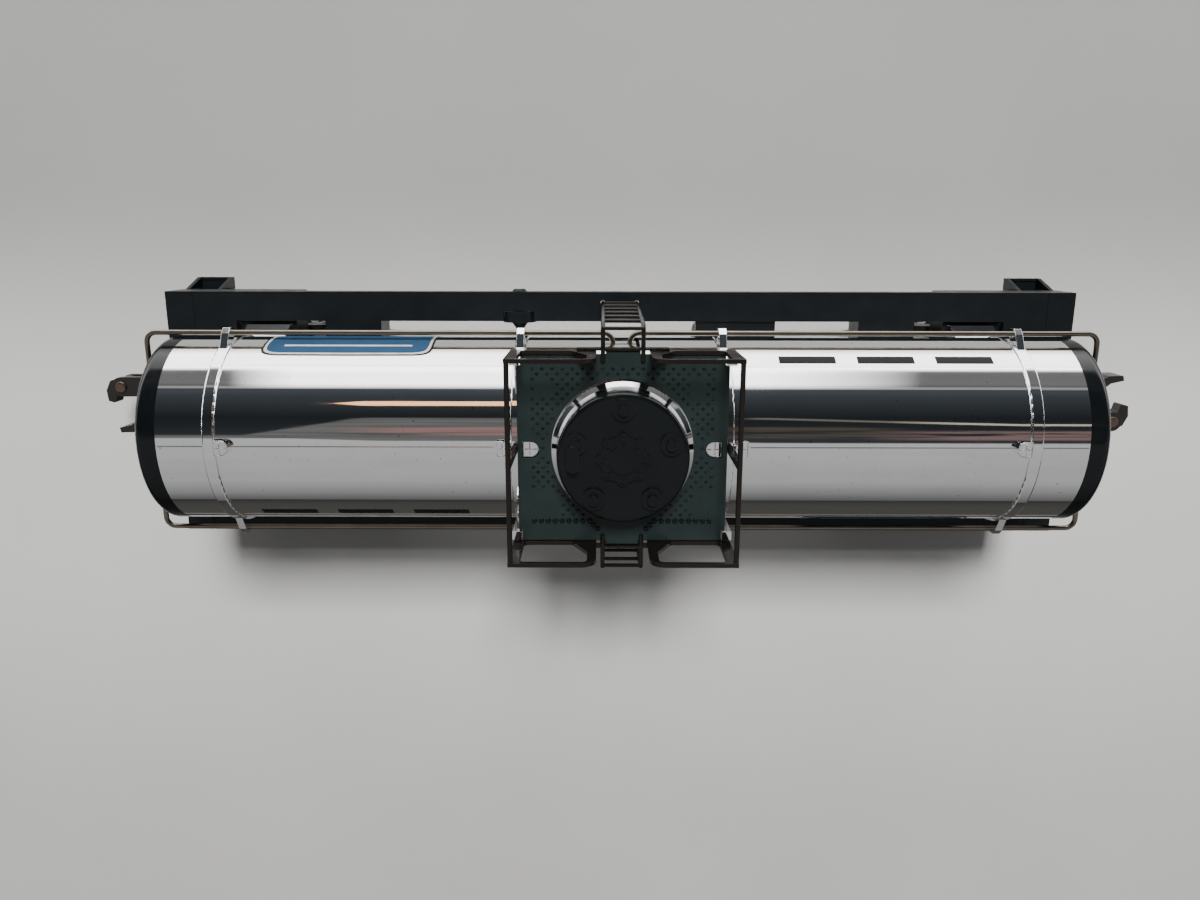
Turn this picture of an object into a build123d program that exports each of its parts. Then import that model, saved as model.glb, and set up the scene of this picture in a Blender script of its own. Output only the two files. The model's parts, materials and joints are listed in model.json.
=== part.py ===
from build123d import *
import os

# Model tank wagon for 31.75 mm gauge track: polished tank on a black frame, two swivelling
# trucks with knuckle couplers, and a service platform with ladders around the dome.
# Frame: X along the wagon, Y across it, +Z up; origin under the middle, at the wheel flanges.

# ---- driving dimensions, mm ----
TANK_R = 22.25          # outside radius of the tank barrel
TANK_Z = 53.0           # height of the tank axis
WALL = 1.6              # tank wall
BARREL_HALF = 104.5     # half length of the polished barrel
CAP_END = 109.7         # outer end of the black end caps
BAND_X = (-92.5, -23.6, 23.6, 92.5)
BAND_W = 2.9
BAND_PROUD = 0.5
RAIL_WIRE_R = 0.6       # tank handrail wire
RAIL_WIRE_Y = 23.86
RAIL_WIRE_DZ = 5.83     # handrail height above the tank axis
RAIL_WIRE_END = 112.0
DECK_Z = 35.9           # top of the frame
FRAME_HALF_L = 117.6
FRAME_HALF_W = 32.1
SILL_IN = 24.6          # inner edge of the flat side rails
SILL_BOTTOM = 24.5
PLATE_Z = 77.5          # top of the service platform
PLATE_X = 23.25
PLATE_Y = 21.1
PLATE_T = 1.0
SKIRT_R = 15.6          # polished skirt of the dome, just inside the platform's hole
SKIRT_Z = 79.2
NECK_Z = 80.0           # top of the skirt, where the black cover sits
NECK_R = 14.6
NECK_WALL = 1.5
LADDER_X = 4.35         # ladder rail centres
WIRE = 0.5              # ladder and small rod radius
RUNG_STEP = 6.93
RUNGS = 7
TRUCK_X = 90.5          # truck pivots
AXLE_DX = 17.5          # half wheelbase
AXLE_Z = 10.3
AXLE_R = 1.2
JOURNAL_R = 0.8
RUN = 0.06              # radial running clearance
KINGPIN_R = 2.0
RIVET_X = 139.7         # knuckle pivot, right-hand end
RIVET_Y = -4.7
COUPLER_Z = 17.3

PARTS = "parts"
os.makedirs(PARTS, exist_ok=True)


def save(part, name):
    part.label = name
    export_step(part, f"{PARTS}/{name}.step")


def x_plane(x):
    """Sketch plane facing +X at the given x: local x is world Y, local y is world Z."""
    return Plane.YZ.offset(x)


def xz_plane(y):
    """Sketch plane facing -Y at the given y: local x is world X, local y is world Z."""
    return Plane.XZ.offset(-y)


# ======================= tank =======================
SADDLE_X = (85.2, 96.3)
SADDLE_Y = 23.8
SEAT_Z = 34.0           # top of the frame bolsters
SCREW_X = 70.0
SCREW_SEAT = 27.0
LUG_H = 24.0            # top of the top-line lugs above the tank axis
POST_X = 23.6
POST_Y = 19.8
POST_W = 2.0
POST_X_W = 2.2
STANCHION_W = 1.7
SHOULDER_R = 16.6       # shoulder under the platform
SADDLE_TOP_Y = 19.5     # half width where the saddle meets the barrel
LUG_W = 3.5
BOSS_R = 3.0            # screw bosses inside the tank
BOSS_H = 7.5
SCREW_PILOT_R = 1.2
WIRE_FIT = 0.05         # clearance around the handrail wire
WIRE_IN_X = 2.0         # inner wire ends, beside mid-wagon


def d_lug(x_flat, length, width):
    """Add a D-shaped outline to the sketch: flat end at x_flat, round end towards mid-wagon."""
    turn = 1 if x_flat > 0 else -1
    x_round = x_flat - turn * (length - width / 2)
    with Locations(((x_flat + x_round) / 2, 0)):
        Rectangle(abs(x_flat - x_round), width)
    with Locations((x_round, 0)):
        Circle(width / 2)


with BuildPart() as tank:
    with BuildSketch(x_plane(-BARREL_HALF)):
        with Locations((0, TANK_Z)):
            Circle(TANK_R)
    extrude(amount=2 * BARREL_HALF)
    for x in BAND_X:
        with BuildSketch(x_plane(x - BAND_W / 2)):
            with Locations((0, TANK_Z)):
                Circle(TANK_R + BAND_PROUD)
        extrude(amount=BAND_W)
    fillet(tank.edges().filter_by(GeomType.CIRCLE).filter_by(
        lambda e: abs(e.radius - TANK_R - BAND_PROUD) < 0.01), 0.4)
    # dome neck with the shoulder that carries the platform
    with BuildSketch(Plane.XZ):
        with BuildLine():
            Polyline((0, TANK_Z + 5), (SHOULDER_R, TANK_Z + 5), (SHOULDER_R, PLATE_Z - PLATE_T),
                     (SKIRT_R, PLATE_Z - PLATE_T), (SKIRT_R, SKIRT_Z), (NECK_R, NECK_Z),
                     (0, NECK_Z), close=True)
        make_face()
    revolve(axis=Axis.Z)
    # saddles that stand on the frame bolsters
    for side in (-1, 1):
        with BuildSketch(x_plane(side * sum(SADDLE_X) / 2)):
            with BuildLine():
                Polyline((-SADDLE_Y, SEAT_Z), (SADDLE_Y, SEAT_Z), (SADDLE_Y, SEAT_Z + 3.4),
                         (SADDLE_TOP_Y, TANK_Z - 8), (-SADDLE_TOP_Y, TANK_Z - 8),
                         (-SADDLE_Y, SEAT_Z + 3.4), close=True)
            make_face()
        extrude(amount=(SADDLE_X[1] - SADDLE_X[0]) / 2, both=True)
    # posts from the middle bands up to the platform corners
    with BuildSketch(Plane.XY.offset(TANK_Z + 6)):
        for x in (-POST_X, POST_X):
            for y in (-POST_Y, POST_Y):
                with Locations((x, y)):
                    Rectangle(POST_X_W, POST_W)
    extrude(amount=PLATE_Z + 0.5 - TANK_Z - 6)
    # top-line lugs, two pairs under the platform, one pair at the outer bands, one pair beside
    with BuildSketch(Plane.XY.offset(TANK_Z + 18)):
        for side in (-1, 1):
            d_lug(side * 22.0, 3.5, LUG_W)
            d_lug(side * 27.9, 2.9, LUG_W)
            d_lug(side * 90.9, 3.3, LUG_W)
    extrude(amount=LUG_H - 18)
    # handrail stanchions
    for x in BAND_X:
        for side in (-1, 1):
            with BuildSketch(x_plane(x)):
                with BuildLine():
                    Polyline((side * 18.5, TANK_Z + 10.9), (side * 23.9, TANK_Z + 8.0),
                             (side * 25.1, TANK_Z + 6.8), (side * 25.1, TANK_Z + 4.9),
                             (side * 24.3, TANK_Z + 4.4), (side * 18.5, TANK_Z + 6.4), close=True)
                make_face()
            extrude(amount=STANCHION_W / 2, both=True)
    # hollow inside, with a screw boss over each frame cross-member
    with BuildSketch(x_plane(-BARREL_HALF)):
        with Locations((0, TANK_Z)):
            Circle(TANK_R - WALL)
    extrude(amount=2 * BARREL_HALF, mode=Mode.SUBTRACT)
    with BuildSketch(Plane.XY.offset(TANK_Z)):
        Circle(NECK_R - NECK_WALL)
    extrude(amount=NECK_Z - TANK_Z, mode=Mode.SUBTRACT)
    with BuildSketch(Plane.XY.offset(TANK_Z - TANK_R + 0.8)):
        with Locations((-SCREW_X, 0), (SCREW_X, 0)):
            Circle(BOSS_R)
    extrude(amount=BOSS_H)
    with BuildSketch(Plane.XY.offset(TANK_Z - TANK_R - 1)):
        with Locations((-SCREW_X, 0), (SCREW_X, 0)):
            Circle(SCREW_PILOT_R)
    extrude(amount=12, mode=Mode.SUBTRACT)
    # wire holes through the stanchions and the four inner wire ends
    with BuildSketch(x_plane(-BARREL_HALF)):
        with Locations((-RAIL_WIRE_Y, TANK_Z + RAIL_WIRE_DZ), (RAIL_WIRE_Y, TANK_Z + RAIL_WIRE_DZ)):
            Circle(RAIL_WIRE_R + WIRE_FIT)
    extrude(amount=2 * BARREL_HALF, mode=Mode.SUBTRACT)
    with BuildSketch(xz_plane(-TANK_R - 1)):
        with Locations((-WIRE_IN_X, TANK_Z + RAIL_WIRE_DZ), (WIRE_IN_X, TANK_Z + RAIL_WIRE_DZ)):
            Circle(RAIL_WIRE_R + WIRE_FIT)
    extrude(amount=-2 * TANK_R - 2, mode=Mode.SUBTRACT)
save(tank.part, "tank_shell")

# ---- end caps: spigot inside the barrel, rim flush with it, shallow dished head ----
CAP_SPIGOT = 6.0
CAP_BORE = 17.0
CAP_ROUND = 2.2
DISH = 1.2              # rise of the dished head
DISH_R = 19.0


def end_cap(side):
    with BuildPart() as cap:
        with BuildSketch(x_plane(side * BARREL_HALF)):
            with Locations((0, TANK_Z)):
                Circle(TANK_R)
        extrude(amount=side * (CAP_END - BARREL_HALF))
        fillet(cap.faces().sort_by(Axis.X)[0 if side < 0 else -1].edges(), CAP_ROUND)
        with BuildSketch(Plane.XZ):
            with BuildLine():
                Polyline((side * CAP_END, TANK_Z + DISH_R), (side * (CAP_END - 1), TANK_Z + DISH_R),
                         (side * (CAP_END - 1), TANK_Z), (side * (CAP_END + DISH), TANK_Z))
                ThreePointArc((side * (CAP_END + DISH), TANK_Z),
                              (side * (CAP_END + DISH * 0.75), TANK_Z + DISH_R / 2),
                              (side * CAP_END, TANK_Z + DISH_R))
            make_face()
        revolve(axis=Axis((0, 0, TANK_Z), (1, 0, 0)))
        with BuildSketch(x_plane(side * BARREL_HALF)):
            with Locations((0, TANK_Z)):
                Circle(TANK_R - WALL)
        extrude(amount=-side * CAP_SPIGOT)
        with BuildSketch(x_plane(side * (BARREL_HALF - CAP_SPIGOT))):
            with Locations((0, TANK_Z)):
                Circle(CAP_BORE)
        extrude(amount=side * (CAP_END - 2.5 - BARREL_HALF + CAP_SPIGOT), mode=Mode.SUBTRACT)
    return cap.part


save(end_cap(-1), "end_cap_left")
save(end_cap(1), "end_cap_right")

# ---- dome cover: rounded lid, five valve bosses, a scalloped manway plate, a valve lever ----
COVER_TOP = 86.2
COVER_R = 14.2          # outside radius at the top of the slightly tapered wall
COVER_ROUND = 1.0
SPIGOT_H = 2.5
SPIGOT_FIT = 0.05
VALVE_R = 10.7
VALVES = 5
VALVE_BASE_R = 2.4
VALVE_CAP_R = 1.15
LOBES = 8
MANWAY_R = 5.0
MANWAY_T = 0.9
LEVER_AT = (-10.6, 0.35)
LEVER_L = 3.1
LEVER_W = 2.7
with BuildPart() as cover:
    with BuildSketch(Plane.XZ):
        with BuildLine():
            Polyline((0, NECK_Z - SPIGOT_H), (NECK_R - NECK_WALL - SPIGOT_FIT, NECK_Z - SPIGOT_H),
                     (NECK_R - NECK_WALL - SPIGOT_FIT, NECK_Z), (NECK_R, NECK_Z),
                     (COVER_R, COVER_TOP - COVER_ROUND))
            RadiusArc((COVER_R, COVER_TOP - COVER_ROUND), (COVER_R - COVER_ROUND, COVER_TOP), -COVER_ROUND)
            Polyline((COVER_R - COVER_ROUND, COVER_TOP), (0, COVER_TOP), (0, NECK_Z - SPIGOT_H))
        make_face()
    revolve(axis=Axis.Z)
    for radius, height in ((VALVE_BASE_R, 1.0), (VALVE_CAP_R, 2.2)):
        with BuildSketch(Plane.XY.offset(COVER_TOP)):
            with PolarLocations(VALVE_R, VALVES, start_angle=90):
                Circle(radius)
        extrude(amount=height)
    with BuildSketch(Plane.XY.offset(COVER_TOP)):
        Circle(MANWAY_R)
        with PolarLocations(MANWAY_R - 0.3, LOBES):
            Circle(1.15)
    extrude(amount=MANWAY_T)
    with BuildSketch(Plane.XY.offset(COVER_TOP + MANWAY_T)):
        Circle(MANWAY_R - 1.9)
    extrude(amount=0.5)
    with BuildSketch(Plane.XY.offset(COVER_TOP + MANWAY_T)):
        with PolarLocations(MANWAY_R - 0.5, LOBES):
            Circle(0.55)
    extrude(amount=0.6)
    with BuildSketch(Plane.XY.offset(COVER_TOP)):
        with Locations(LEVER_AT):
            SlotCenterToCenter(LEVER_L, LEVER_W, rotation=90)
    extrude(amount=2.6)
save(cover.part, "dome_cover")

# ======================= platform, railings, ladders =======================
LEDGE = 0.6             # how far the platform's edge flange hangs below the plate
TAB_X = 3.75
TAB_Y = 22.0
DOME_HOLE_R = 15.8
with BuildPart() as platform:
    with BuildSketch(Plane.XY.offset(PLATE_Z - PLATE_T)):
        Rectangle(2 * PLATE_X, 2 * PLATE_Y)
        Rectangle(2 * TAB_X, 2 * TAB_Y)
    extrude(amount=PLATE_T)
    fillet(platform.edges().group_by(Axis.Z)[-1], 0.25)
    with BuildSketch(Plane.XY.offset(PLATE_Z - PLATE_T - LEDGE)):
        Rectangle(2 * PLATE_X, 2 * PLATE_Y)
        Rectangle(2 * PLATE_X - 2, 2 * PLATE_Y - 2, mode=Mode.SUBTRACT)
    extrude(amount=LEDGE)
    # dome hole, lug slots and corner notches
    with BuildSketch(Plane.XY.offset(PLATE_Z - PLATE_T - LEDGE)):
        Circle(DOME_HOLE_R)
        for side in (-1, 1):
            d_lug(side * 22.15, 3.8, 3.8)
        for x in (-POST_X, POST_X):
            for y in (-POST_Y, POST_Y):
                with Locations((x, y)):
                    Rectangle(POST_X_W + 0.4, POST_W + 0.4)
    extrude(amount=PLATE_T + LEDGE, mode=Mode.SUBTRACT)
save(platform.part, "platform")

RAIL_TOP = 91.9
RAIL_X = 23.85
RAIL_R = 0.55
PANEL_T = 0.9           # thickness of the railing's side panels
PANEL_Y = PLATE_Y + 0.02 + PANEL_T / 2
PANEL_IN = 5.75         # end of a panel beside the ladder
PANEL_OUT = RAIL_X + RAIL_R
POST = 1.95             # width of the panel's post beside the ladder
CORNER_POST = 2.4
TOE_Z = PLATE_Z + 0.4   # top of the toe-board along the platform's edge
RAIL_FOOT = PLATE_Z - 1.4


def railing(side):
    """C-shaped railing for one end of the platform: two flat side panels, end rail, middle post."""
    with BuildPart() as rail:
        for y in (-1, 1):
            with BuildSketch(xz_plane(y * PANEL_Y)):
                with BuildLine():
                    FilletPolyline((side * PANEL_IN, RAIL_FOOT), (side * PANEL_IN, RAIL_TOP + RAIL_R),
                                   (side * PANEL_OUT, RAIL_TOP + RAIL_R), radius=3.4)
                    Polyline((side * PANEL_OUT, RAIL_TOP + RAIL_R), (side * PANEL_OUT, RAIL_FOOT),
                             (side * PANEL_IN, RAIL_FOOT))
                make_face()
                with BuildLine():
                    FilletPolyline((side * (PANEL_IN + 5.4), TOE_Z), (side * (PANEL_IN + POST), TOE_Z + 7),
                                   (side * (PANEL_IN + POST), RAIL_TOP - RAIL_R),
                                   (side * (PANEL_OUT - CORNER_POST), RAIL_TOP - RAIL_R),
                                   (side * (PANEL_OUT - CORNER_POST), TOE_Z), radius=1.2, close=True)
                make_face(mode=Mode.SUBTRACT)
            extrude(amount=PANEL_T / 2, both=True)
        # end rail with a middle post against the platform's end edge
        with BuildSketch(xz_plane(-PANEL_Y)):
            with Locations((side * RAIL_X, RAIL_TOP)):
                Circle(RAIL_R)
        extrude(amount=-2 * PANEL_Y)
        with BuildSketch(Plane.XY.offset(PLATE_Z - PLATE_T)):
            with Locations((side * (RAIL_X + 0.02), 0)):
                Rectangle(1.1, 1.6)
        extrude(amount=RAIL_TOP - PLATE_Z + PLATE_T)
    return rail.part


save(railing(-1), "railing_left")
save(railing(1), "railing_right")

LADDER_TOP_Y = 27.4
LADDER_FOOT_Y = 29.4
LADDER_TOP_Z = PLATE_Z + WIRE
HOOK_HALF = 10.0        # strip that hooks the ladder over the platform
STILE_IN_Y = 19.6
RUNG_R = 0.42


def ladder(side):
    """Ladder of round rod: hooked over the platform, standing on the side rail of the frame."""
    with BuildPart() as steps:
        for x in (-LADDER_X, LADDER_X):
            with BuildLine(x_plane(x)) as stile:
                FilletPolyline((side * STILE_IN_Y, LADDER_TOP_Z), (side * LADDER_TOP_Y, LADDER_TOP_Z),
                               (side * LADDER_FOOT_Y, DECK_Z - 1.0), radius=1.5)
            with BuildSketch(Plane((x, side * STILE_IN_Y, LADDER_TOP_Z), z_dir=(0, side, 0))):
                Circle(WIRE)
            sweep(path=stile.line)
        for k in range(RUNGS):
            z = DECK_Z + WIRE + k * RUNG_STEP
            share = (LADDER_TOP_Z - z) / (LADDER_TOP_Z - DECK_Z)
            y = side * (LADDER_TOP_Y + share * (LADDER_FOOT_Y - LADDER_TOP_Y))
            if k == RUNGS - 1:
                y = side * (LADDER_TOP_Y - 0.6)
            with BuildSketch(x_plane(-LADDER_X)):
                with Locations((y, z)):
                    Circle(RUNG_R)
            extrude(amount=2 * LADDER_X)
        # flat strip that hooks the ladder over the platform's edge
        with BuildSketch(x_plane(-HOOK_HALF)):
            with Locations((side * (PANEL_Y + PANEL_T / 2 + 0.3), PLATE_Z - 0.3)):
                Rectangle(0.5, 2.2)
        extrude(amount=2 * HOOK_HALF)
    return steps.part


save(ladder(-1), "ladder_near")
save(ladder(1), "ladder_far")

# ---- tank handrails: one bent wire around each end of the tank ----
WIRE_IN_Y = 21.0
for side, name in ((-1, "handrail_left"), (1, "handrail_right")):
    rail_z = TANK_Z + RAIL_WIRE_DZ
    with BuildPart() as wire:
        with BuildLine(Plane.XY.offset(rail_z)):
            FilletPolyline((side * WIRE_IN_X, WIRE_IN_Y), (side * WIRE_IN_X, RAIL_WIRE_Y),
                           (side * RAIL_WIRE_END, RAIL_WIRE_Y), (side * RAIL_WIRE_END, -RAIL_WIRE_Y),
                           (side * WIRE_IN_X, -RAIL_WIRE_Y), (side * WIRE_IN_X, -WIRE_IN_Y), radius=2.3)
        with BuildSketch(Plane((side * WIRE_IN_X, WIRE_IN_Y, rail_z), z_dir=(0, 1, 0))):
            Circle(RAIL_WIRE_R)
        sweep()
    save(wire.part, name)

# ======================= underframe =======================
BODY_CLEAR = 22.8       # radius of the trough that the tank hangs in
DEEP_FROM = 84.5        # the side sills are deep from here to the ends
SLOPE_FROM = 82.0
SHALLOW_Z = 31.6
END_DECK = 99.6         # inner end of the end decks
TROUGH_END = 111.5
BOLSTER_X = (84.6, 99.0)
CROSS_X = (62.0, 76.5)
CROSS_BOTTOM = 26.5
DECK_T = 1.5
WEB_T = 1.2
SILL_W = 12.0           # centre sill
STEP_TOP_X = (103.5, 115.8)
STEP_X = (106.9, 116.6)  # tread of a corner step
STEP_Z = 16.5
STEP_Y = 35.0
STEP_T = 1.2
RES_SEAT = (30.15, 20.5)
POCKET = (5.6, 15.0)    # pockets under the cross-members
POCKET_Y = 15.6
JOINT_X = 110.5         # fine joint line between the side rails and the end deck
CYL_X = -26.2           # brake cylinder, across the wagon over the far side rail
CYL_Z = 32.3
CYL_FLANGE_R = 4.4
CYL_DECK_HALF = 3.95    # half width of its slot through the deck
with BuildPart() as frame:
    # flat side rails and the decks at both ends
    with BuildSketch(Plane.XY.offset(DECK_Z - DECK_T)):
        Rectangle(2 * FRAME_HALF_L, 2 * FRAME_HALF_W)
        Rectangle(2 * END_DECK, 2 * SILL_IN, mode=Mode.SUBTRACT)
    extrude(amount=DECK_T)
    # outer webs, deep at the ends and shallow in the middle
    for side in (-1, 1):
        with BuildSketch(xz_plane(side * (FRAME_HALF_W - WEB_T / 2))):
            with BuildLine():
                Polyline((-FRAME_HALF_L, DECK_Z), (FRAME_HALF_L, DECK_Z), (FRAME_HALF_L, SILL_BOTTOM),
                         (DEEP_FROM, SILL_BOTTOM), (SLOPE_FROM, SHALLOW_Z), (-SLOPE_FROM, SHALLOW_Z),
                         (-DEEP_FROM, SILL_BOTTOM), (-FRAME_HALF_L, SILL_BOTTOM), close=True)
            make_face()
        extrude(amount=WEB_T / 2, both=True)
        with BuildSketch(Plane.XY.offset(SHALLOW_Z)):
            with Locations((0, side * (SILL_IN + 0.5))):
                Rectangle(2 * END_DECK, 1.0)
        extrude(amount=DECK_Z - SHALLOW_Z)
    # end sills
    with BuildSketch(Plane.XY.offset(SILL_BOTTOM)):
        with Locations((-FRAME_HALF_L + 0.7, 0), (FRAME_HALF_L - 0.7, 0)):
            Rectangle(1.4, 2 * FRAME_HALF_W)
    extrude(amount=DECK_Z - SILL_BOTTOM)
    # centre sill
    with BuildSketch(Plane.XY.offset(SILL_BOTTOM)):
        Rectangle(2 * FRAME_HALF_L - 2, SILL_W)
    extrude(amount=DECK_Z - 1 - SILL_BOTTOM)
    # bolsters and cross-members, reaching out to the side rails
    for side in (-1, 1):
        for span, top, bottom in ((BOLSTER_X, SEAT_Z, SILL_BOTTOM), (CROSS_X, DECK_Z, CROSS_BOTTOM)):
            with BuildSketch(Plane.XY.offset(bottom)):
                with Locations((side * sum(span) / 2, 0)):
                    Rectangle(span[1] - span[0], 2 * FRAME_HALF_W - 2)
            extrude(amount=top - bottom)
    # seat for the air reservoir between the far side rail and the tank
    with BuildSketch(Plane.XY.offset(SHALLOW_Z + 0.4)):
        with Locations(RES_SEAT):
            Rectangle(20.7, 9.2)
    extrude(amount=DECK_Z - SHALLOW_Z - 1.2)
    # trough for the tank and its end caps
    with BuildSketch(x_plane(-TROUGH_END)):
        with Locations((0, TANK_Z)):
            Circle(BODY_CLEAR)
    extrude(amount=2 * TROUGH_END, mode=Mode.SUBTRACT)
    # pockets from below that lighten the cross-members
    with BuildSketch(Plane.XY.offset(SILL_BOTTOM - 1)):
        for x in (-sum(CROSS_X) / 2, sum(CROSS_X) / 2):
            with Locations((x, -POCKET_Y), (x, POCKET_Y)):
                Rectangle(*POCKET)
    extrude(amount=5.0, mode=Mode.SUBTRACT)
    # kingpin, tank screw and ladder holes
    with BuildSketch(Plane.XY.offset(SILL_BOTTOM - 1)):
        with Locations((-TRUCK_X, 0), (TRUCK_X, 0)):
            Circle(KINGPIN_R)
    extrude(amount=9, mode=Mode.SUBTRACT)
    with BuildSketch(Plane.XY.offset(SILL_BOTTOM - 1)):
        with Locations((-SCREW_X, 0), (SCREW_X, 0)):
            Circle(SCREW_PILOT_R + 0.05)
    extrude(amount=9, mode=Mode.SUBTRACT)
    with BuildSketch(Plane.XY.offset(SILL_BOTTOM - 1)):
        with Locations((-SCREW_X, 0), (SCREW_X, 0)):
            Circle(2.6)
    extrude(amount=SCREW_SEAT - SILL_BOTTOM + 1, mode=Mode.SUBTRACT)
    with BuildSketch(Plane.XY.offset(DECK_Z - 2)):
        for x in (-LADDER_X, LADDER_X):
            with Locations((x, -LADDER_FOOT_Y), (x, LADDER_FOOT_Y)):
                Circle(WIRE + 0.1)
    extrude(amount=3, mode=Mode.SUBTRACT)
    # slot in the far side rail for the brake cylinder, narrower through the deck
    for bottom, top, width in ((SILL_BOTTOM, DECK_Z - DECK_T, 2 * CYL_FLANGE_R + 0.2),
                               (DECK_Z - DECK_T, DECK_Z, 2 * CYL_DECK_HALF)):
        with BuildSketch(Plane.XY.offset(bottom)):
            with Locations((CYL_X, SILL_IN + 1)):
                Rectangle(width, 3.0)
        extrude(amount=top - bottom, mode=Mode.SUBTRACT)
    with BuildSketch(xz_plane(SILL_IN)):
        with Locations((CYL_X, CYL_Z)):
            Circle(2.0)
    extrude(amount=-10, mode=Mode.SUBTRACT)
    with BuildSketch(Plane.XY.offset(DECK_Z - 0.2)):
        with Locations((-JOINT_X, 0), (JOINT_X, 0)):
            Rectangle(0.25, 2 * FRAME_HALF_W)
    extrude(amount=1, mode=Mode.SUBTRACT)
    # corner steps: raked legs hung from the web, and a tread with a raised rim
    for side in (-1, 1):
        for y in (-1, 1):
            outline = [(side * STEP_TOP_X[0], SILL_BOTTOM + 2), (side * STEP_TOP_X[1], SILL_BOTTOM + 2),
                       (side * STEP_X[1], STEP_Z), (side * STEP_X[0], STEP_Z)]
            opening = [(side * (STEP_TOP_X[0] + 1.3), SILL_BOTTOM + 1),
                       (side * (STEP_TOP_X[1] - 1.3), SILL_BOTTOM + 1),
                       (side * (STEP_X[1] - 1.3), STEP_Z + STEP_T), (side * (STEP_X[0] + 1.3), STEP_Z + STEP_T)]
            with BuildSketch(xz_plane(y * (FRAME_HALF_W - WEB_T / 2))):
                with BuildLine():
                    Polyline(*outline, close=True)
                make_face()
                with BuildLine():
                    Polyline(*opening, close=True)
                make_face(mode=Mode.SUBTRACT)
            extrude(amount=WEB_T / 2, both=True)
            tread = (side * sum(STEP_X) / 2, y * (FRAME_HALF_W - WEB_T + STEP_Y) / 2)
            tread_size = (STEP_X[1] - STEP_X[0], STEP_Y - FRAME_HALF_W + WEB_T)
            with BuildSketch(Plane.XY.offset(STEP_Z)):
                with Locations(tread):
                    Rectangle(*tread_size)
            extrude(amount=STEP_T)
            for x in (STEP_X[0] + 0.5, STEP_X[1] - 0.5):
                with BuildSketch(x_plane(side * x)):
                    with BuildLine():
                        Polyline((y * (FRAME_HALF_W - WEB_T), STEP_Z), (y * STEP_Y, STEP_Z),
                                 (y * STEP_Y, STEP_Z + STEP_T), (y * FRAME_HALF_W, SILL_BOTTOM + 1.5),
                                 (y * (FRAME_HALF_W - WEB_T), SILL_BOTTOM + 1.5), close=True)
                    make_face()
                extrude(amount=0.5, both=True)
            with BuildSketch(Plane.XY.offset(STEP_Z + 0.7)):
                with Locations(tread):
                    Rectangle(tread_size[0] - 1.6, tread_size[1] - 1.4)
            extrude(amount=1, mode=Mode.SUBTRACT)
save(frame.part, "underframe")

# ---- brake gear and weight ----
with BuildPart() as cylinder:
    cyl_axis = Axis((CYL_X, 0, CYL_Z), (0, 1, 0))
    with BuildSketch(x_plane(CYL_X)):
        with BuildLine():
            Polyline((22.3, CYL_Z), (22.3, CYL_Z + 0.9), (24.2, CYL_Z + 2.3), (24.2, CYL_Z + CYL_FLANGE_R),
                     (27.0, CYL_Z + CYL_FLANGE_R), (27.0, CYL_Z + 1.9), (32.2, CYL_Z + 1.9),
                     (32.7, CYL_Z + 1.4), (32.7, CYL_Z), close=True)
        make_face()
    revolve(axis=cyl_axis)
save(cylinder.part, "brake_cylinder")

RES_R = 5.0
RES_X = 19.8
RES_L = 20.7
RES_AT = (18.6, 26.6)
with BuildPart() as reservoir:
    with BuildSketch(x_plane(RES_X)):
        with Locations(RES_AT):
            Circle(RES_R)
    extrude(amount=RES_L)
    fillet(reservoir.edges().filter_by(GeomType.CIRCLE), 1.2)
    for x in (RES_X + 4, RES_X + RES_L - 5.2):
        with BuildSketch(x_plane(x)):
            with Locations(RES_AT):
                Circle(RES_R + 0.3)
        extrude(amount=1.2)
save(reservoir.part, "air_reservoir")

BALLAST = (120.0, 14.0, 4.0)
BALLAST_Z = 33.65       # corners of its underside rest on the inside of the tank
with BuildPart() as ballast:
    with BuildSketch(Plane.XY.offset(BALLAST_Z)):
        Rectangle(BALLAST[0], BALLAST[1])
    extrude(amount=BALLAST[2])
save(ballast.part, "ballast_bar")

HEAD_R = 2.4
HEAD_T = 1.6
with BuildPart() as screws:
    with BuildSketch(Plane.XY.offset(SCREW_SEAT)):
        with Locations((-SCREW_X, 0), (SCREW_X, 0)):
            Circle(SCREW_PILOT_R - 0.02)
    extrude(amount=10)
    with BuildSketch(Plane.XY.offset(SCREW_SEAT - HEAD_T)):
        with Locations((-SCREW_X, 0), (SCREW_X, 0)):
            Circle(HEAD_R)
    extrude(amount=HEAD_T)
    with BuildSketch(Plane.XY.offset(SCREW_SEAT - HEAD_T)):
        with Locations((-SCREW_X, 0), (SCREW_X, 0)):
            Rectangle(0.5, 3)
            Rectangle(3, 0.5)
    extrude(amount=0.8, mode=Mode.SUBTRACT)
save(screws.part, "tank_screws")

# ======================= trucks =======================
FRAME_IN = 20.2         # inner face of the side frames
FRAME_OUT = 22.2
BOLSTER_Z = (15.4, 19.4)
PIVOT_TOP = 24.42       # centre plate, just under the frame bolster
PIN_Z = 14.0            # armature hinge height
ARM_X = 112.6
SPRING_Z = (8.42, 14.58)
SPRING_WIRE = 0.42
SPRING_R = 1.4
SPRING_DX = 2.5
COILS = 4
TENON = (6.0, 2.8)      # end of the bolster in the side frame
TENON_Z = 17.4
RIVET_R = 0.8
RIVET_HEAD_R = 2.2
CENTRE_PLATE_R = 6.5
PIN_HEAD_Z = 11.7       # underside of the kingpin's head
PIN_HEAD_T = 1.5
PIN_TOP = 29.4
WINDOW_X = 5.2          # half width of the spring window
AXLE_HALF = 19.9
JOURNAL_HALF = 21.2
PIVOT_R = 1.0           # knuckle rivet
HINGE_R = 0.6           # armature pin
EAR_R = 2.75
HEAD_LOW = 3.6          # the coupler head reaches this far below and above COUPLER_Z
EAR_T = 1.5
HINGE_HALF = 3.0        # half width of the armature's hinge lugs
FLAP_L = 22.0
BUTTON_R = 4.0          # round button at the end of the armature


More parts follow.
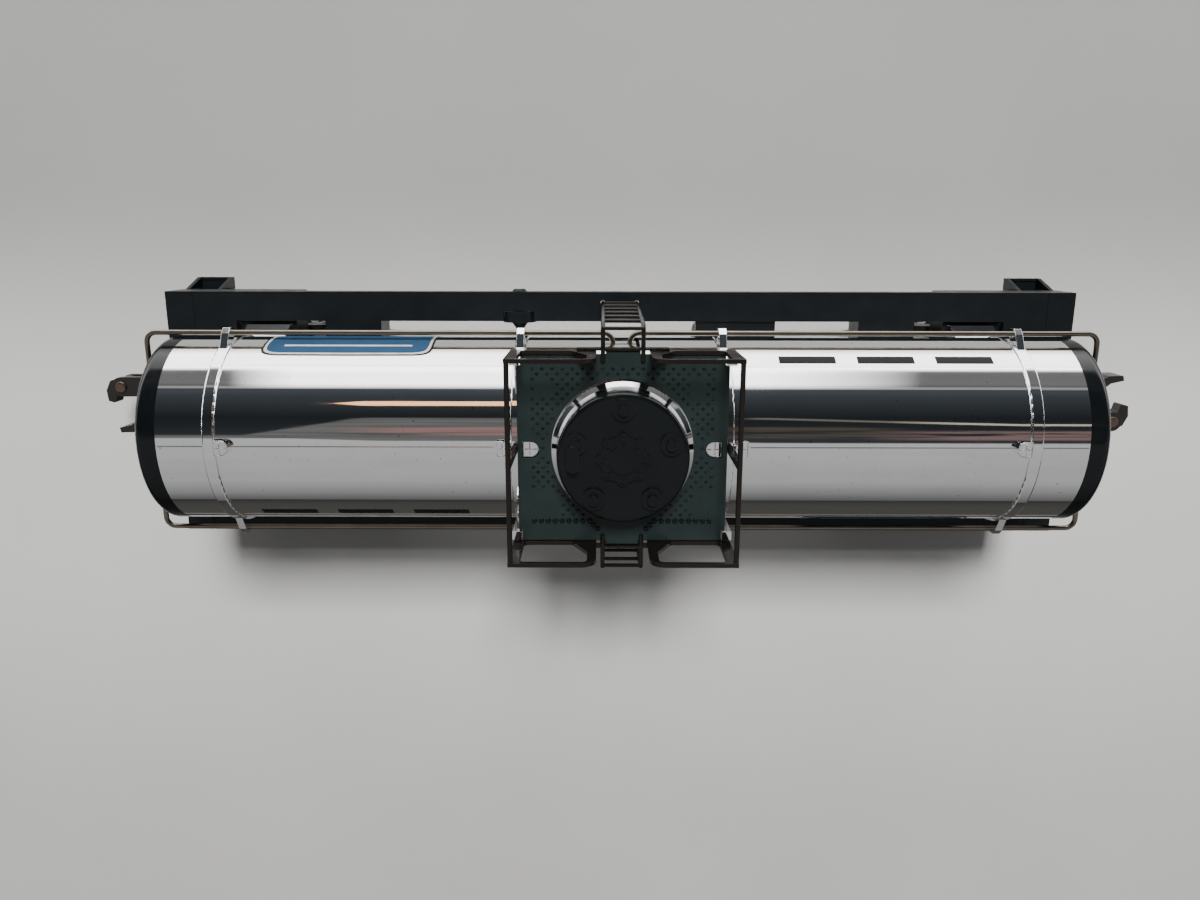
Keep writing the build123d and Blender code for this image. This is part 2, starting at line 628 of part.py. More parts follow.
def truck_end(sign, make):
    """Build a truck part for the right-hand end, turned half round for the left-hand one."""
    part = make()
    return part if sign > 0 else part.rotate(Axis.Z, 180)


def truck_bolster():
    with BuildPart() as bolster:
        with BuildSketch(Plane.XY.offset(BOLSTER_Z[0])):
            with Locations((TRUCK_X, 0)):
                Rectangle(9.2, 2 * FRAME_IN - 0.04)
        extrude(amount=BOLSTER_Z[1] - BOLSTER_Z[0])
        fillet(bolster.edges().filter_by(Axis.Y), 0.6)
        with BuildSketch(Plane.XY.offset(BOLSTER_Z[0] + 0.6)):
            with Locations((TRUCK_X, 0)):
                Rectangle(TENON[0], 2 * FRAME_OUT + 0.2)
        extrude(amount=TENON[1])
        with BuildSketch(Plane.XY.offset(BOLSTER_Z[1] - 0.5)):
            with Locations((TRUCK_X, 0)):
                Circle(CENTRE_PLATE_R)
        extrude(amount=PIVOT_TOP - BOLSTER_Z[1] + 0.5)
        with BuildSketch(Plane.XY.offset(BOLSTER_Z[0] - 1)):
            with Locations((TRUCK_X, 0)):
                Circle(KINGPIN_R + RUN)
        extrude(amount=12, mode=Mode.SUBTRACT)
        with BuildSketch(xz_plane(-30)):
            with Locations((TRUCK_X, TENON_Z)):
                Circle(RIVET_R)
        extrude(amount=-13, mode=Mode.SUBTRACT)
        with BuildSketch(xz_plane(30)):
            with Locations((TRUCK_X, TENON_Z)):
                Circle(RIVET_R)
        extrude(amount=13, mode=Mode.SUBTRACT)
    return bolster.part


def side_frame(side):
    """Cast side frame: arched top chord, journal boxes, spring window and raised edges."""
    half = [(0, 6.0), (6.6, 6.0), (12.4, 8.7), (13.8, 6.9), (21.0, 6.9), (21.9, 8.0),
            (21.9, 13.2), (20.6, 14.6), (15.6, 16.0), (8.6, 20.4), (6.0, 21.4), (0, 21.4)]
    full = half + [(-x, z) for x, z in reversed(half[1:-1])]
    with BuildPart() as casting:
        with BuildSketch(xz_plane(side * (FRAME_IN + FRAME_OUT) / 2)):
            with BuildLine():
                Polyline(*[(TRUCK_X + x, z) for x, z in full], close=True)
            make_face()
            with BuildLine():
                Polyline((TRUCK_X - WINDOW_X, 8.4), (TRUCK_X + WINDOW_X, 8.4), (TRUCK_X + WINDOW_X, 14.6),
                         (TRUCK_X - WINDOW_X, 14.6), close=True)
            make_face(mode=Mode.SUBTRACT)
            with Locations((TRUCK_X, TENON_Z)):
                Rectangle(TENON[0] + 0.02, TENON[1] + 0.02, mode=Mode.SUBTRACT)
            for lean in (-1, 1):
                with BuildLine():
                    Polyline((TRUCK_X + lean * 7.0, 9.0), (TRUCK_X + lean * 11.6, 10.9),
                             (TRUCK_X + lean * 11.6, 15.4), (TRUCK_X + lean * 7.0, 17.6), close=True)
                make_face(mode=Mode.SUBTRACT)
        extrude(amount=(FRAME_OUT - FRAME_IN) / 2, both=True)
        # journal boxes with a sloping lid
        for dx in (-AXLE_DX, AXLE_DX):
            with BuildSketch(xz_plane(side * FRAME_OUT)):
                with Locations((TRUCK_X + dx, AXLE_Z)):
                    RectangleRounded(6.0, 5.6, 0.8)
            extrude(amount=-side * 1.3)
            with BuildSketch(xz_plane(side * (FRAME_OUT + 1.3))):
                with Locations((TRUCK_X + dx, AXLE_Z + 0.2)):
                    RectangleRounded(4.6, 4.0, 0.6)
            extrude(amount=-side * 0.5)
        # axle bearings
        with BuildSketch(xz_plane(side * (FRAME_IN - 1))):
            with Locations((TRUCK_X - AXLE_DX, AXLE_Z), (TRUCK_X + AXLE_DX, AXLE_Z)):
                Circle(JOURNAL_R + RUN)
        extrude(amount=-side * 2.3, mode=Mode.SUBTRACT)
    return casting.part


def truck_springs():
    """Four coil springs, two in the window of each side frame."""
    rise = SPRING_Z[1] - SPRING_Z[0] - 2 * SPRING_WIRE
    with BuildPart() as coils:
        for y in (-1, 1):
            for dx in (-SPRING_DX, SPRING_DX):
                base = (TRUCK_X + dx, y * (FRAME_IN + FRAME_OUT) / 2, SPRING_Z[0] + SPRING_WIRE)
                with BuildLine() as coil:
                    Helix(pitch=rise / COILS, height=rise, radius=SPRING_R, center=base)
                with BuildSketch(Plane(coil.line @ 0, z_dir=coil.line % 0)):
                    Circle(SPRING_WIRE)
                sweep(path=coil.line, is_frenet=True)
    return coils.part


def frame_rivets():
    with BuildPart() as rivets:
        for y in (-1, 1):
            with BuildSketch(xz_plane(y * (FRAME_OUT + 0.1))):
                with Locations((TRUCK_X, TENON_Z)):
                    Circle(RIVET_HEAD_R)
            extrude(amount=-y * 0.8)
            with BuildSketch(xz_plane(y * (FRAME_OUT + 0.1))):
                with Locations((TRUCK_X, TENON_Z)):
                    Circle(RIVET_R)
            extrude(amount=y * 4)
        fillet(rivets.edges().filter_by(GeomType.CIRCLE).filter_by(
            lambda e: e.radius > 2 and abs(e.center().Y) > FRAME_OUT + 0.5), 0.5)
    return rivets.part


def kingpin():
    """Shouldered pivot screw, driven up into the frame bolster from below."""
    with BuildPart() as pin:
        with BuildSketch(Plane.XY.offset(PIN_HEAD_Z + PIN_HEAD_T)):
            with Locations((TRUCK_X, 0)):
                Circle(KINGPIN_R)
        extrude(amount=PIN_TOP - PIN_HEAD_Z - PIN_HEAD_T)
        with BuildSketch(Plane.XY.offset(PIN_HEAD_Z)):
            with Locations((TRUCK_X, 0)):
                Circle(3.4)
        extrude(amount=PIN_HEAD_T)
        fillet(pin.edges().group_by(Axis.Z)[0], 0.6)
        with BuildSketch(Plane.XY.offset(PIN_HEAD_Z)):
            with Locations((TRUCK_X, 0)):
                Rectangle(0.7, 8)
        extrude(amount=0.7, mode=Mode.SUBTRACT)
    return pin.part


def axle(dx):
    with BuildPart() as shaft:
        for radius, half in ((AXLE_R, AXLE_HALF), (JOURNAL_R, JOURNAL_HALF)):
            with BuildSketch(xz_plane(-half)):
                with Locations((TRUCK_X + dx, AXLE_Z)):
                    Circle(radius)
            extrude(amount=-2 * half)
    return shaft.part


def wheel(dx, side):
    """Flanged wheel with a coned tread, dished web and raised hub, bored for the axle."""
    with BuildPart() as disc:
        with BuildSketch(x_plane(TRUCK_X + dx)):
            with BuildLine():
                points = [(14.1, AXLE_R), (14.1, 10.0), (14.4, 10.3), (14.9, 10.25), (15.3, 9.7),
                          (15.7, 9.1), (19.1, 8.9), (19.4, 8.6), (19.4, 7.5), (18.4, 7.1), (18.2, 3.2),
                          (19.5, 2.7), (19.5, AXLE_R)]
                Polyline(*[(side * y, AXLE_Z + r) for y, r in points], close=True)
            make_face()
        revolve(axis=Axis((TRUCK_X + dx, 0, AXLE_Z), (0, 1, 0)))
    return disc.part


def coupler_head():
    """Drawbar from the truck bolster to the head: guard arm, throat and two ears for the knuckle."""
    with BuildPart() as head:
        with BuildSketch(Plane.XZ):
            with BuildLine():
                Polyline((84.5, 13.3), (98, 13.3), (101, 16.0), (134.4, 16.0), (134.4, 18.6), (99.6, 18.6),
                         (96.6, 15.35), (84.5, 15.35), close=True)
            make_face()
        extrude(amount=3.0, both=True)
        with BuildSketch(Plane.XY.offset(COUPLER_Z - HEAD_LOW)):
            with BuildLine():
                Polyline((129.5, -3.0), (132.5, -6.6), (134.6, -7.4), (134.9, 0.5), (135.4, 4.0),
                         (138.0, 6.2), (141.6, 7.0), (141.2, 8.4), (137.4, 8.3), (132.6, 5.6),
                         (129.5, 3.0), close=True)
            make_face()
        extrude(amount=2 * HEAD_LOW)
        for z in (COUPLER_Z - HEAD_LOW, COUPLER_Z + HEAD_LOW - EAR_T):
            with BuildSketch(Plane.XY.offset(z)):
                with Locations((RIVET_X, RIVET_Y)):
                    Circle(EAR_R)
                with BuildLine():
                    Polyline((134.2, RIVET_Y - EAR_R), (RIVET_X, RIVET_Y - EAR_R),
                             (RIVET_X, RIVET_Y + EAR_R), (134.2, RIVET_Y + EAR_R), close=True)
                make_face()
            extrude(amount=EAR_T)
        with BuildSketch(Plane.XY.offset(10)):
            with Locations((TRUCK_X, 0)):
                Circle(KINGPIN_R + RUN)
        extrude(amount=8, mode=Mode.SUBTRACT)
        with BuildSketch(Plane.XY.offset(10)):
            with Locations((RIVET_X, RIVET_Y)):
                Circle(PIVOT_R)
        extrude(amount=14, mode=Mode.SUBTRACT)
        # hinge lugs for the armature
        with BuildSketch(Plane.XZ):
            with Locations((ARM_X, PIN_Z)):
                Circle(1.3)
            with Locations((ARM_X, PIN_Z + 1.3)):
                Rectangle(2.6, 2.6)
        extrude(amount=HINGE_HALF, both=True)
        with BuildSketch(Plane.XZ):
            with Locations((ARM_X, PIN_Z)):
                Rectangle(4.4, 3.99)
        extrude(amount=2.0, both=True, mode=Mode.SUBTRACT)
        with BuildSketch(Plane.XZ):
            with Locations((ARM_X, PIN_Z)):
                Circle(HINGE_R)
        extrude(amount=4.0, both=True, mode=Mode.SUBTRACT)
    return head.part


def knuckle():
    """Swinging jaw: hub on the pivot, finger curling across the mouth of the coupler."""
    with BuildPart() as jaw:
        with BuildSketch(Plane.XY.offset(COUPLER_Z - 2.0)):
            with Locations((RIVET_X, RIVET_Y)):
                Circle(2.6)
            with BuildLine():
                Polyline((RIVET_X - 0.5, RIVET_Y - 2.55), (143.6, -6.2), (144.9, -3.4), (144.6, -0.4),
                         (142.6, 0.1), (142.1, -1.8), (141.2, -3.0), (139.7, -2.15), close=True)
            make_face()
        extrude(amount=4.0)
        fillet(jaw.edges().filter_by(Axis.Z).filter_by(lambda e: e.center().X > 141.5), 0.45)
        with BuildSketch(Plane.XY.offset(COUPLER_Z - 3)):
            with Locations((RIVET_X, RIVET_Y)):
                Circle(PIVOT_R + RUN)
        extrude(amount=6, mode=Mode.SUBTRACT)
    return jaw.part


def knuckle_pin():
    with BuildPart() as pin:
        with BuildSketch(Plane.XY.offset(COUPLER_Z - HEAD_LOW - 0.3)):
            with Locations((RIVET_X, RIVET_Y)):
                Circle(PIVOT_R)
        extrude(amount=7.8)
        with BuildSketch(Plane.XY.offset(COUPLER_Z + HEAD_LOW)):
            with Locations((RIVET_X, RIVET_Y)):
                Circle(1.55)
        extrude(amount=0.7)
        fillet(pin.edges().group_by(Axis.Z)[-1], 0.4)
        with BuildSketch(Plane.XY.offset(COUPLER_Z - HEAD_LOW - 0.5)):
            with Locations((RIVET_X, RIVET_Y)):
                Circle(1.4)
        extrude(amount=0.5)
    return pin.part


def armature():
    """Uncoupling flap: hinge barrel, strip under the drawbar and the round magnet button."""
    with BuildPart() as flap:
        with BuildSketch(Plane.XZ):
            with Locations((ARM_X, PIN_Z)):
                Circle(1.15)
            with Locations((ARM_X + FLAP_L / 2, PIN_Z - 0.75)):
                Rectangle(FLAP_L, 0.8)
        extrude(amount=1.9, both=True)
        with BuildSketch(Plane.XY.offset(PIN_Z - 2.35)):
            with Locations((ARM_X + 12.5, 0)):
                Circle(BUTTON_R)
        extrude(amount=1.3)
        with BuildSketch(Plane.XZ):
            with Locations((ARM_X, PIN_Z)):
                Circle(HINGE_R + RUN)
        extrude(amount=3.0, both=True, mode=Mode.SUBTRACT)
    return flap.part


def armature_pin():
    with BuildPart() as pin:
        with BuildSketch(Plane.XZ):
            with Locations((ARM_X, PIN_Z)):
                Circle(HINGE_R)
        extrude(amount=HINGE_HALF, both=True)
        for y in (-HINGE_HALF - 0.4, HINGE_HALF):
            with BuildSketch(xz_plane(y)):
                with Locations((ARM_X, PIN_Z)):
                    Circle(0.95)
            extrude(amount=-0.4)
    return pin.part


for sign, end in ((-1, "left"), (1, "right")):
    save(truck_end(sign, truck_bolster), f"truck_bolster_{end}")
    for side, place in ((-1, "near"), (1, "far")):
        piece = truck_end(sign, lambda: side_frame(side * sign))
        save(piece, f"truck_side_frame_{end}_{place}")
    save(truck_end(sign, truck_springs), f"truck_springs_{end}")
    save(truck_end(sign, frame_rivets), f"truck_rivets_{end}")
    save(truck_end(sign, kingpin), f"kingpin_{end}")
    for dx, where in ((-AXLE_DX, "inner"), (AXLE_DX, "outer")):
        save(truck_end(sign, lambda: axle(dx)), f"axle_{end}_{where}")
        for side, place in ((-1, "near"), (1, "far")):
            piece = truck_end(sign, lambda: wheel(dx, side * sign))
            save(piece, f"wheel_{end}_{where}_{place}")
    save(truck_end(sign, coupler_head), f"coupler_head_{end}")
    save(truck_end(sign, knuckle), f"coupler_knuckle_{end}")
    save(truck_end(sign, knuckle_pin), f"knuckle_pin_{end}")
    save(truck_end(sign, armature), f"coupler_armature_{end}")
    save(truck_end(sign, armature_pin), f"armature_pin_{end}")
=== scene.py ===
import json
from math import cos, degrees, hypot, pi, radians, sin

import bpy
from mathutils import Matrix, Vector


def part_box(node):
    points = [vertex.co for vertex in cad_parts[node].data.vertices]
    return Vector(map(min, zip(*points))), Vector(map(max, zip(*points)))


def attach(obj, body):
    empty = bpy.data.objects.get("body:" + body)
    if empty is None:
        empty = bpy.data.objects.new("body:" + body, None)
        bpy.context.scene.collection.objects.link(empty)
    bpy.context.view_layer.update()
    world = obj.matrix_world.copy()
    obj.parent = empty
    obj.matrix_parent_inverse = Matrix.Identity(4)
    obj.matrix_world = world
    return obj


# Looks of the model tank wagon. Metres; X along the wagon, Z up, wheels on the floor at Z = 0.
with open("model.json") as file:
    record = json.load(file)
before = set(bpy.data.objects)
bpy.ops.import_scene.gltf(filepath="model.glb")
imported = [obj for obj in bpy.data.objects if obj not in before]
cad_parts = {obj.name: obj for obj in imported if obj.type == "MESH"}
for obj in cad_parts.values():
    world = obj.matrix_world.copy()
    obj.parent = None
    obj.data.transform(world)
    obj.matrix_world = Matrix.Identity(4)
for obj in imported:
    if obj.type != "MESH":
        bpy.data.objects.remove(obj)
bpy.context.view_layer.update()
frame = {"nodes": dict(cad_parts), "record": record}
nodes = frame["nodes"]
MM = 0.001

# ---- places worked out from the frame ----
cap_low, cap_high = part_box("end_cap_left")
AXIS_Z = (cap_low.z + cap_high.z) / 2
TANK_R = (cap_high.z - cap_low.z) / 2
PLATE_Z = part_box("platform")[1].z
wheel_low, wheel_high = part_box("wheel_left_inner_near")
WHEEL_Z = (wheel_low.z + wheel_high.z) / 2
BARREL_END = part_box("tank_shell")[1].x


# ======================= node helpers =======================
class Graph:
    """Small wrapper that keeps a node graph readable."""

    def __init__(self, tree):
        self.tree = tree
        self.texture = self.add("ShaderNodeTexCoord")

    def add(self, kind, **settings):
        node = self.tree.nodes.new(kind)
        for key, value in settings.items():
            setattr(node, key, value)
        return node

    def link(self, source, target):
        self.tree.links.new(source, target)

    def feed(self, node, name, value):
        if isinstance(value, bpy.types.NodeSocket):
            self.link(value, node.inputs[name])
        else:
            node.inputs[name].default_value = value

    def math(self, operation, a, b=0.0):
        node = self.add("ShaderNodeMath", operation=operation)
        self.feed(node, 0, a)
        self.feed(node, 1, b)
        return node.outputs[0]

    def times(self, *factors):
        result = factors[0]
        for factor in factors[1:]:
            result = self.math("MULTIPLY", result, factor)
        return result

    def vector_math(self, operation, a, b=None):
        node = self.add("ShaderNodeVectorMath", operation=operation)
        self.feed(node, 0, a)
        if b is not None:
            self.feed(node, 1, b)
        return node.outputs["Value" if operation in ("LENGTH", "DOT_PRODUCT") else "Vector"]

    def scaled(self, scale, source="Object"):
        """Texture coordinates, stretched by scale."""
        node = self.add("ShaderNodeMapping")
        self.link(self.texture.outputs[source], node.inputs["Vector"])
        node.inputs["Scale"].default_value = scale
        return node.outputs["Vector"]

    def noise(self, size, detail=4.0, rough=0.55, stretch=(1, 1, 1), source="Object"):
        """Noise with features about size across."""
        node = self.add("ShaderNodeTexNoise")
        self.link(self.scaled(tuple(k / size for k in stretch), source), node.inputs["Vector"])
        node.inputs["Scale"].default_value = 1.0
        node.inputs["Detail"].default_value = detail
        node.inputs["Roughness"].default_value = rough
        return node.outputs["Fac"]

    def spread(self, value, low, high, to_low=0.0, to_high=1.0, smooth=False):
        """Value between low and high, carried over to the range to_low to to_high and held at its ends."""
        node = self.add("ShaderNodeMapRange", clamp=True)
        if smooth:
            node.interpolation_type = "SMOOTHSTEP"
        for key, number in (("Value", value), ("From Min", low), ("From Max", high),
                            ("To Min", to_low), ("To Max", to_high)):
            self.feed(node, key, number)
        return node.outputs["Result"]

    def band(self, value, low, high, soft):
        """1 between low and high, falling to 0 over soft on both sides."""
        rise = self.spread(value, low - soft, low + soft, smooth=True)
        fall = self.spread(value, high - soft, high + soft, 1.0, 0.0, smooth=True)
        return self.math("MULTIPLY", rise, fall)

    def mix(self, share, a, b):
        """Colour a, with this share of colour b."""
        node = self.add("ShaderNodeMix", data_type="RGBA")
        self.feed(node, 0, share)
        for index, value in ((6, a), (7, b)):
            self.feed(node, index, value if isinstance(value, bpy.types.NodeSocket) else (*value, 1.0))
        return node.outputs[2]

    def split(self, vector):
        node = self.add("ShaderNodeSeparateXYZ")
        self.link(vector, node.inputs[0])
        return node.outputs


SAME_FACING = 0.985        # cosine above which two normals count as the same


class Shader(Graph):
    """A material under construction, with its principled surface."""

    def __init__(self, name):
        self.material = bpy.data.materials.new(name)
        self.material.use_nodes = True
        super().__init__(self.material.node_tree)
        self.bsdf = self.tree.nodes["Principled BSDF"]
        self.position = self.add("ShaderNodeNewGeometry")

    def set(self, **inputs):
        for key, value in inputs.items():
            self.feed(self.bsdf, key.replace("_", " "), value)

    def bump(self, height, strength, distance, normal=None):
        node = self.add("ShaderNodeBump")
        self.link(height, node.inputs["Height"])
        node.inputs["Strength"].default_value = strength
        node.inputs["Distance"].default_value = distance
        if normal is not None:
            self.link(normal, node.inputs["Normal"])
        self.link(node.outputs["Normal"], self.bsdf.inputs["Normal"])

    def soft_edges(self, radius):
        """Normal that rounds sharp corners off to radius."""
        node = self.add("ShaderNodeBevel", samples=6)
        node.inputs["Radius"].default_value = radius
        return node.outputs["Normal"]

    def edge_mask(self, radius):
        """About 1 where the surface turns a sharp corner, 0 on open faces."""
        rounded = self.soft_edges(radius)
        same = self.vector_math("DOT_PRODUCT", rounded, self.position.outputs["Normal"])
        return self.spread(same, SAME_FACING, 0.9)


# ======================= materials =======================
BARREL_SLACK = 0.06 * MM   # a surface this close to the tank radius belongs to the barrel
TREAD_FROM, TREAD_TO = 8.55 * MM, 8.65 * MM     # wheel radii between which the polished tread begins
TARNISH = (0.05, 0.04, 0.03)
BLACK = (0.0, 0.0, 0.0)


def chrome(name, barrel=True):
    """Plated plastic: mirror-bright with wiping scratches; the barrel gets a true round normal."""
    s = Shader(name)
    s.set(Metallic=1.0)
    normal = s.soft_edges(0.12 * MM)
    if barrel:
        place = s.split(s.position.outputs["Position"])
        radial = s.add("ShaderNodeCombineXYZ")
        s.link(place[1], radial.inputs[1])
        s.link(s.math("SUBTRACT", place[2], AXIS_Z), radial.inputs[2])
        out = s.vector_math("NORMALIZE", radial.outputs[0])
        reach = s.vector_math("LENGTH", radial.outputs[0])
        off_radius = s.math("ABSOLUTE", s.math("SUBTRACT", reach, TANK_R))
        on_radius = s.math("LESS_THAN", off_radius, BARREL_SLACK)
        face = s.position.outputs["True Normal"]
        facing = s.math("GREATER_THAN", s.vector_math("DOT_PRODUCT", out, face), SAME_FACING)
        blend = s.add("ShaderNodeMix", data_type="VECTOR")
        s.link(s.math("MULTIPLY", on_radius, facing), blend.inputs[0])
        s.link(normal, blend.inputs[4])
        s.link(out, blend.inputs[5])
        normal = blend.outputs[1]
    scratches = s.noise(0.16 * MM, detail=2.0, stretch=(0.05, 1, 1))
    slow = s.noise(9 * MM, detail=3.0)
    s.bump(s.math("ADD", s.times(scratches, 0.02), slow), 0.12, 0.03 * MM, normal)
    haze = s.noise(5 * MM, detail=6.0, rough=0.7, stretch=(0.5, 1, 1))
    s.set(Roughness=s.spread(haze, 0.35, 0.8, 0.02, 0.085))
    specks = s.spread(s.noise(0.9 * MM, detail=1.0), 0.745, 0.80)
    smears = s.spread(s.noise(7 * MM, detail=5.0, rough=0.6, stretch=(0.35, 1, 1)), 0.5, 0.8, 0.0, 0.22)
    base = s.mix(smears, (0.93, 0.935, 0.94), (0.62, 0.62, 0.60))
    s.set(Base_Color=s.mix(s.times(specks, 0.6), base, (0.22, 0.20, 0.19)))
    return s.material


def moulded(name, colour, rough, edge=0.15, grain=0.12, dust=0.05, lift=2.0, spec=0.4):
    """Moulded or painted black: fine grain, lighter edges that are part wear and part painted highlight, and a
    little settled dust.
    """
    s = Shader(name)
    s.set(Specular_IOR_Level=spec)
    mottled = s.spread(s.noise(6 * MM, detail=5.0), 0.3, 0.75)
    base = s.mix(mottled, tuple(0.82 * c for c in colour), tuple(1.2 * c for c in colour))
    # lighter edges: part wear, part painted highlight for gloss catching the light on sharp corners
    edge_wear_and_highlight = s.times(s.edge_mask(0.22 * MM), s.spread(s.noise(1.6 * MM), 0.35, 0.7))
    base = s.mix(s.times(edge_wear_and_highlight, edge * 3), base, tuple(min(1.0, c * lift + 0.02) for c in colour))
    upward = s.spread(s.split(s.position.outputs["Normal"])[2], 0.3, 1.0)
    settled = s.times(upward, s.spread(s.noise(0.9 * MM, detail=8.0, rough=0.75), 0.55, 0.85))
    s.set(Base_Color=s.mix(s.times(settled, dust), base, (0.36, 0.35, 0.33)))
    patchy = s.noise(3 * MM, detail=4.0)
    s.set(Roughness=s.spread(patchy, 0.3, 0.75, max(0.04, rough - 0.06), rough + 0.07))
    s.bump(s.noise(0.22 * MM, detail=3.0), grain, 0.03 * MM, s.soft_edges(0.16 * MM))
    return s.material


def drawn_metal(name, colour, rough, stain, along=(0.05, 1, 1)):
    """Wire, rod or turned steel: draw marks along one axis, tarnish in patches."""
    s = Shader(name)
    s.set(Metallic=1.0)
    marks = s.noise(0.3 * MM, detail=2.0, stretch=along)
    patches = s.spread(s.noise(6 * MM, detail=5.0, rough=0.6), 0.35, 0.75)
    base = s.mix(marks, tuple(0.85 * c for c in colour), tuple(min(1.0, 1.1 * c) for c in colour))
    s.set(Base_Color=s.mix(s.times(patches, stain), base, TARNISH))
    s.set(Roughness=s.spread(patches, 0, 1, rough, rough + 0.15))
    s.bump(marks, 0.12, 0.02 * MM, s.soft_edges(0.10 * MM))
    return s.material


def wheel_metal(name):
    """Blackened casting with a tread and flange polished by the rails."""
    s = Shader(name)
    place = s.split(s.texture.outputs["Object"])
    wheel_x = s.add("ShaderNodeAttribute", attribute_name="axle_x")
    across = s.math("SUBTRACT", place[0], wheel_x.outputs["Fac"])
    up = s.math("SUBTRACT", place[2], WHEEL_Z)
    reach = s.math("SQRT", s.math("ADD", s.times(across, across), s.times(up, up)))
    tread = s.spread(reach, TREAD_FROM, TREAD_TO)
    streaks = s.noise(0.3 * MM)
    bright = s.times(tread, s.spread(streaks, 0.25, 0.6, 0.55, 1.0))
    s.set(Base_Color=s.mix(bright, (0.028, 0.026, 0.024), (0.48, 0.46, 0.43)), Metallic=bright,
          Roughness=s.spread(bright, 0, 1, 0.5, 0.26))
    s.bump(s.noise(0.25 * MM), 0.15, 0.03 * MM, s.soft_edges(0.16 * MM))
    return s.material


def printed(name, colour, rough=0.2, spec=0.06):
    """Thin glossy ink film with slight orange peel and tone changes."""
    s = Shader(name)
    tone = s.spread(s.noise(4 * MM, detail=4.0), 0.3, 0.7)
    s.set(Base_Color=s.mix(tone, tuple(0.9 * c for c in colour), tuple(min(1.0, 1.06 * c) for c in colour)),
          Roughness=s.spread(s.noise(1.2 * MM), 0.3, 0.8, rough - 0.05, rough + 0.1),
          Specular_IOR_Level=spec)
    s.bump(s.noise(0.5 * MM), 0.05, 0.02 * MM)
    return s.material


def floor_paper(name):
    """Pale matt table, slightly cloudy, with a faint fibre and a few hairline marks."""
    s = Shader(name)
    tone = s.spread(s.noise(90 * MM, detail=3.0), 0.3, 0.7)
    fibre = s.noise(0.8 * MM, detail=5.0, rough=0.7)
    base = s.mix(tone, (0.585, 0.58, 0.56), (0.625, 0.62, 0.60))
    marks = s.spread(s.noise(2.2 * MM, detail=6.0, rough=0.7, stretch=(0.15, 1, 1)), 0.68, 0.8, 0, 0.25)
    base = s.mix(marks, base, (0.40, 0.39, 0.37))
    base = s.mix(s.spread(fibre, 0.55, 0.8, 0.0, 0.12), base, (0.45, 0.45, 0.44))
    # painted shade: the table turns darker towards the back, where it gets less light, and a little darker
    # towards the front
    place = s.split(s.texture.outputs["Object"])
    painted_shade_back = s.spread(place[1], -0.01, 0.065, 0.0, 0.47, smooth=True)
    painted_shade_front = s.spread(place[1], -0.05, -0.15, 0.0, 0.14, smooth=True)
    base = s.mix(s.math("ADD", painted_shade_back, painted_shade_front), base, BLACK)
    # painted reflection: for mirrored rays only, the floor is darkened on the near side as painted shade, as if
    # someone stood there, and glows on the far side as painted light standing in for the window behind it
    mirrored = s.add("ShaderNodeLightPath").outputs["Is Glossy Ray"]
    near = s.times(s.spread(place[1], -0.03, -0.10), mirrored)
    # painted shade (dark near-side colour) and painted light (far-side emission), seen only in reflections
    s.set(Base_Color=s.mix(near, base, (0.045, 0.044, 0.040)), Roughness=0.7, Specular_IOR_Level=0.2,
          Emission_Color=(1.0, 1.0, 1.0, 1.0),
          Emission_Strength=s.times(s.spread(place[1], 0.085, 0.16), mirrored, 3.4))
    s.bump(fibre, 0.06, 0.15 * MM)
    return s.material


SLOT_MATERIALS = {
    "chrome_tank": chrome("chrome_plate"),
    # edge and lift are raised here as painted highlight: the bosses, rims and caps get bright outlines like
    # gloss catching the light
    "black_gloss": moulded("gloss_black_moulding", (0.0035, 0.0045, 0.005), 0.16,
                           edge=0.12, grain=0.04, dust=0.01, lift=3.0, spec=0.24),
    "platform_black": moulded("platform_moulding", (0.0105, 0.017, 0.0165), 0.30,
                              edge=0.05, grain=0.14, dust=0.03, spec=0.35),
    "railing_black": moulded("railing_gloss", (0.007, 0.005, 0.004), 0.2,
                             edge=0.08, grain=0.04, dust=0.0, spec=0.3),
    "ladder_steel": moulded("ladder_coating", (0.006, 0.005, 0.004), 0.22,
                            edge=0.08, grain=0.04, dust=0.0, spec=0.3),
    "handrail_steel": drawn_metal("handrail_wire", (0.30, 0.265, 0.215), 0.3, 0.3),
    "frame_black": moulded("frame_moulding", (0.0060, 0.0075, 0.0085), 0.36,
                           edge=0.10, grain=0.10, dust=0.025, spec=0.22),
    "ballast_steel": drawn_metal("ballast_bar_steel", (0.42, 0.42, 0.42), 0.45, 0.3),
    "screw_steel": drawn_metal("plated_screw", (0.34, 0.34, 0.35), 0.3, 0.3),
    "truck_black": moulded("truck_casting", (0.016, 0.016, 0.016), 0.44,
                           edge=0.16, grain=0.25, dust=0.06),
    "spring_steel": drawn_metal("spring_wire", (0.40, 0.40, 0.41), 0.3, 0.35, along=(1, 1, 0.3)),
    "axle_steel": drawn_metal("turned_axle", (0.50, 0.49, 0.48), 0.25, 0.35, along=(1, 0.1, 1)),
    "wheel_metal": wheel_metal("wheel_casting"),
    "coupler_black": moulded("coupler_casting", (0.014, 0.013, 0.012), 0.32,
                             edge=0.18, grain=0.18, dust=0.02),
    "rivet_bronze": drawn_metal("rivet_metal", (0.30, 0.22, 0.17), 0.32, 0.4, along=(1, 1, 1)),
}
for sub in frame["record"]["subparts"]:
    node = nodes[sub["node"]]
    node.data.materials.clear()
    node.data.materials.append(SLOT_MATERIALS[sub["material_slot"]])
    for polygon in node.data.polygons:
        polygon.material_index = 0
    node.data.shade_smooth()
for name, node in nodes.items():
    if name.startswith("wheel_"):
        low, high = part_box(name)
        attribute = node.data.attributes.new("axle_x", "FLOAT", "POINT")
        attribute.data.foreach_set("value", [(low.x + high.x) / 2] * len(node.data.vertices))


